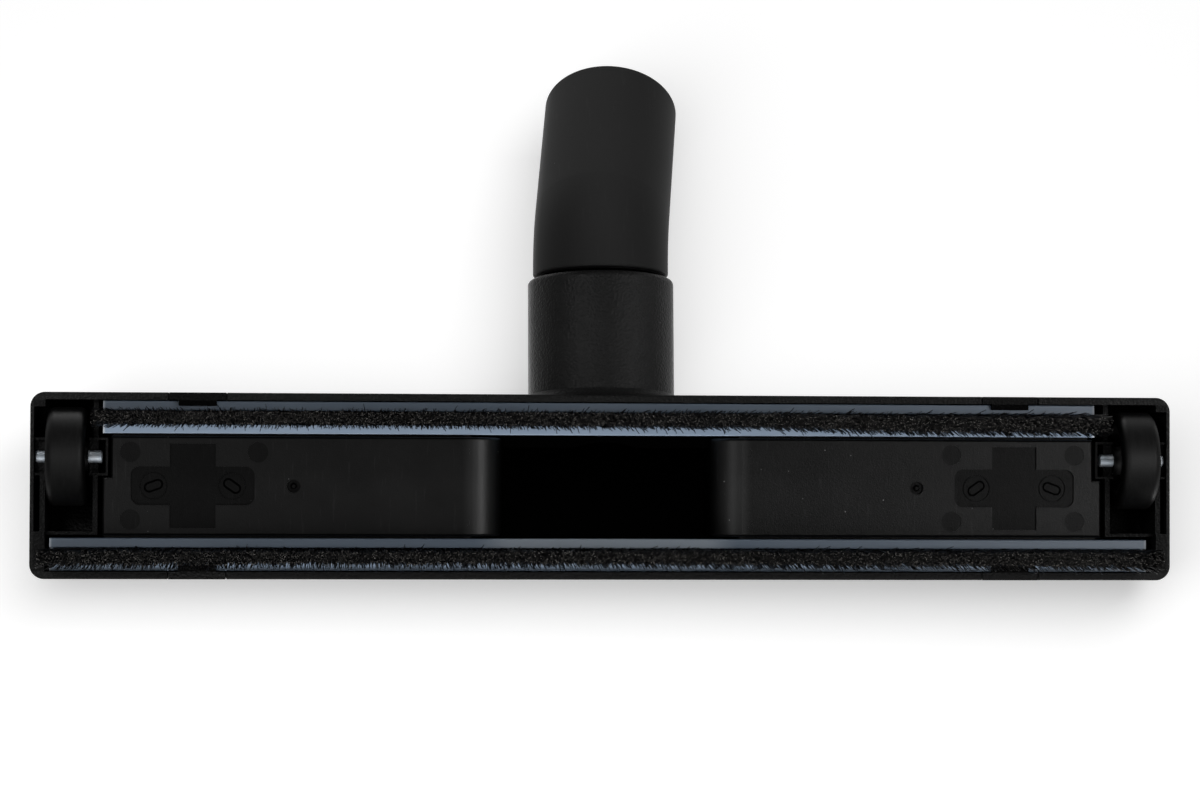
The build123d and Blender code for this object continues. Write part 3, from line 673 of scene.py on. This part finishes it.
def paleCard(name, look):
    # a one-sided card: lit and shaded near the nozzle, plain white further out, clear from behind
    card = bpy.data.materials.new(name)
    card.use_nodes = True
    card.node_tree.nodes.clear()
    canvas = Wire(card.node_tree)
    reach = canvas.node("ShaderNodeVectorMath", {"operation": "LENGTH"}, {0: objectPlace(canvas)}, "Value")
    matte = canvas.node("ShaderNodeBsdfDiffuse", None, {"Color": look["tone"]})
    glowing = canvas.node("ShaderNodeEmission", None, {"Color": grey(1.0), "Strength": look["glow"]})
    lit = canvas.node("ShaderNodeAddShader", None, {0: matte, 1: glowing})
    plain = canvas.node("ShaderNodeEmission", None, {"Color": grey(1.0), "Strength": 1.0})
    front = canvas.node("ShaderNodeMixShader", None, {0: reach.ease(*look["fade"]), 1: lit, 2: plain})
    hidden = canvas.node("ShaderNodeNewGeometry", out="Backfacing")
    if "grazing" in look:
        # clear when it is seen at a slant too
        slant = canvas.node("ShaderNodeLayerWeight", out="Facing")
        hidden = hidden.larger(slant.ease(*look["grazing"]))
    clear = canvas.node("ShaderNodeBsdfTransparent")
    shown = canvas.node("ShaderNodeMixShader", None, {0: hidden, 1: front, 2: clear})
    outlet = card.node_tree.nodes.new("ShaderNodeOutputMaterial")
    canvas.plug(outlet.inputs["Surface"], shown)
    return card


def stagePlane(name, look, matrix):
    halfX, halfY = look["half"]
    corners = [(-halfX, -halfY, 0), (halfX, -halfY, 0), (halfX, halfY, 0), (-halfX, halfY, 0)]
    mesh = bpy.data.meshes.new(name)
    mesh.from_pydata(corners, [], [(0, 1, 2, 3)])
    mesh.materials.append(paleCard(name, look))
    plane = bpy.data.objects.new(name, mesh)
    scene.collection.objects.link(plane)
    plane.matrix_world = matrix
    for ray in ("diffuse", "glossy", "transmission", "volume_scatter", "shadow"):
        setattr(plane, "visible_" + ray, False)      # it takes shadows, and lets the lamps through
    return plane


floorLook = {
    "half": (3.0, 3.0), "place": (0.0, 0.0, -0.0004),
    "tone": grey(0.80), "glow": 0.20, "fade": (0.45, 1.3),
}
tableLook = {
    "half": (0.62, 0.55), "place": (0.0, 0.0, 0.0512), "tilt": 22.5,
    "tone": grey(0.80), "glow": 0.37, "fade": (0.30, 0.50), "grazing": (0.30, 0.60),
}
stagePlane("paleFloor", floorLook, Matrix.Translation(floorLook["place"]))
# the table lies above the nozzle and faces down, to the camera
tableTurn = Matrix.Rotation(math.radians(tableLook["tilt"]), 4, "X") @ Matrix.Rotation(math.pi, 4, "X")
tablePlane = stagePlane("paleTable", tableLook, Matrix.Translation(tableLook["place"]) @ tableTurn)
print("floor and table cards in place")


lamps = {
    # the first one lights the table card alone, for the shadow below the front wall
    "tableKey": {"place": (0.10, 0.19, -0.77), "size": (1.90, 0.50), "power": 10.0, "lit": "table"},
    "softBelow": {"place": (0.14, -0.62, -0.66), "size": (1.00, 0.50), "power": 6.4, "lit": "sole"},
    "softNeck": {"place": (0.00, -0.62, -0.66), "size": (1.00, 0.50), "power": 3.0, "lit": "neck"},
    "tyreBelow": {"place": (0.00, -0.15, -0.84), "size": (1.20, 1.20), "power": 1.2, "lit": "tyres"},
    "stripBelow": {"place": (0.00, 0.76, -0.52), "size": (1.00, 0.12), "power": 3.4, "lit": "backwards"},
    "stripKey": {"place": (0.14, -0.64, -0.62), "size": (1.00, 0.14), "power": 3.5, "lit": "strips"},
    "leftBelow": {"place": (0.36, 0.03, -0.80), "size": (0.20, 0.40), "power": 0.4, "lit": "object"},
    "rightBelow": {"place": (-0.50, 0.03, -0.75), "size": (0.26, 0.40), "power": 1.4, "lit": "object"},
    "collarLeft": {"place": (0.50, 0.26, -0.67), "size": (0.14, 0.40), "power": 2.0, "lit": "shell"},
    "collarRight": {"place": (-0.69, 0.26, -0.50), "size": (0.16, 0.40), "power": 2.0, "lit": "shell"},
    "overhead": {"place": (0.05, -0.10, 0.95), "size": (0.80, 0.80), "power": 4.0, "lit": "object"},
    "keyAbove": {"place": (-0.65, -0.75, 0.62), "size": (0.55, 0.55), "power": 5.4, "lit": "object"},
    "rimAbove": {"place": (0.10, 0.90, 0.62), "size": (0.60, 0.45), "power": 2.6, "lit": "object"},
}
aimPoint = Vector((0.0, 0.03, 0.02))
tyres = [nodes["wheel_tyre_left"], nodes["wheel_tyre_right"]]
strips = [nodes["rear_strip_carrier"], nodes["front_strip_carrier"]]
shell = [nodes["top_shell"]]
neck = shell + [nodes["swivel_elbow"]]
chosen = {"table": [tablePlane], "strips": strips, "neck": neck, "shell": shell, "tyres": tyres}
spared = {
    "object": [tablePlane],
    "sole": [tablePlane] + tyres + neck,
    "backwards": [tablePlane] + tyres + strips + shell,
}
lightGroups = {}
for groupName, members in (chosen | spared).items():
    lightGroups[groupName] = bpy.data.collections.new(groupName + "Lit")
    for member in members:
        lightGroups[groupName].objects.link(member)
    for link in lightGroups[groupName].collection_objects:
        link.light_linking.link_state = "EXCLUDE" if groupName in spared else "INCLUDE"
for lampName, lamp in lamps.items():
    light = bpy.data.lights.new(lampName, "AREA")
    light.shape = "RECTANGLE"
    light.size, light.size_y = lamp["size"]
    light.energy = lamp["power"]
    lampObject = bpy.data.objects.new(lampName, light)
    scene.collection.objects.link(lampObject)
    lampObject.location = lamp["place"]
    lampObject.rotation_mode = "QUATERNION"
    lampObject.rotation_quaternion = (aimPoint - Vector(lamp["place"])).to_track_quat("-Z", "Y")
    lampObject.visible_camera = False
    lampObject.light_linking.receiver_collection = lightGroups[lamp["lit"]]

# white to the camera, dim as light, and darker below in what is mirrored
worldLook = {"ambient": 0.10, "above": 0.80, "below": 0.08, "edge": (0.0, 0.40)}
world = scene.world or bpy.data.worlds.new("studio")
scene.world = world
world.use_nodes = True
world.node_tree.nodes.clear()
sky = Wire(world.node_tree)
heading = axes(sky, sky.node("ShaderNodeTexCoord", out="Generated"))[2]
mirrored = worldLook["below"] + heading.ease(*worldLook["edge"]) * (worldLook["above"] - worldLook["below"])
rays = sky.node("ShaderNodeLightPath").socket.node.outputs
seen = Wire(sky.tree, rays["Is Camera Ray"])
shiny = Wire(sky.tree, rays["Is Glossy Ray"]).larger(Wire(sky.tree, rays["Is Transmission Ray"]))
level = seen + (1.0 - seen) * (shiny * mirrored + (1.0 - shiny) * worldLook["ambient"])
background = sky.node("ShaderNodeBackground", None, {"Color": grey(1.0), "Strength": level})
skyOutlet = sky.tree.nodes.new("ShaderNodeOutputWorld")
sky.plug(skyOutlet.inputs["Surface"], background)
scene.view_settings.view_transform = "Standard"
print("lamps and white surround set")


cameraLook = {
    "place": (0.087024, 0.003096, -1.035316), "aim": (0.002476, 0.027057, 0.011),
    "upward": (0.00543, 0.99973, -0.02246), "lens": 101.51, "sensor": 36.0, "clip": (0.01, 20.0),
}
camera = bpy.data.cameras.new("photoView")
camera.sensor_fit = "HORIZONTAL"
camera.sensor_width = cameraLook["sensor"]
camera.lens = cameraLook["lens"]
camera.clip_start, camera.clip_end = cameraLook["clip"]
viewer = bpy.data.objects.new("photoView", camera)
scene.collection.objects.link(viewer)
backward = (Vector(cameraLook["place"]) - Vector(cameraLook["aim"])).normalized()
rightward = Vector(cameraLook["upward"]).cross(backward).normalized()
upward = backward.cross(rightward)
turn = Matrix((rightward, upward, backward)).transposed().to_4x4()
viewer.matrix_world = Matrix.Translation(cameraLook["place"]) @ turn
scene.camera = viewer
print("camera looks up at the sole")
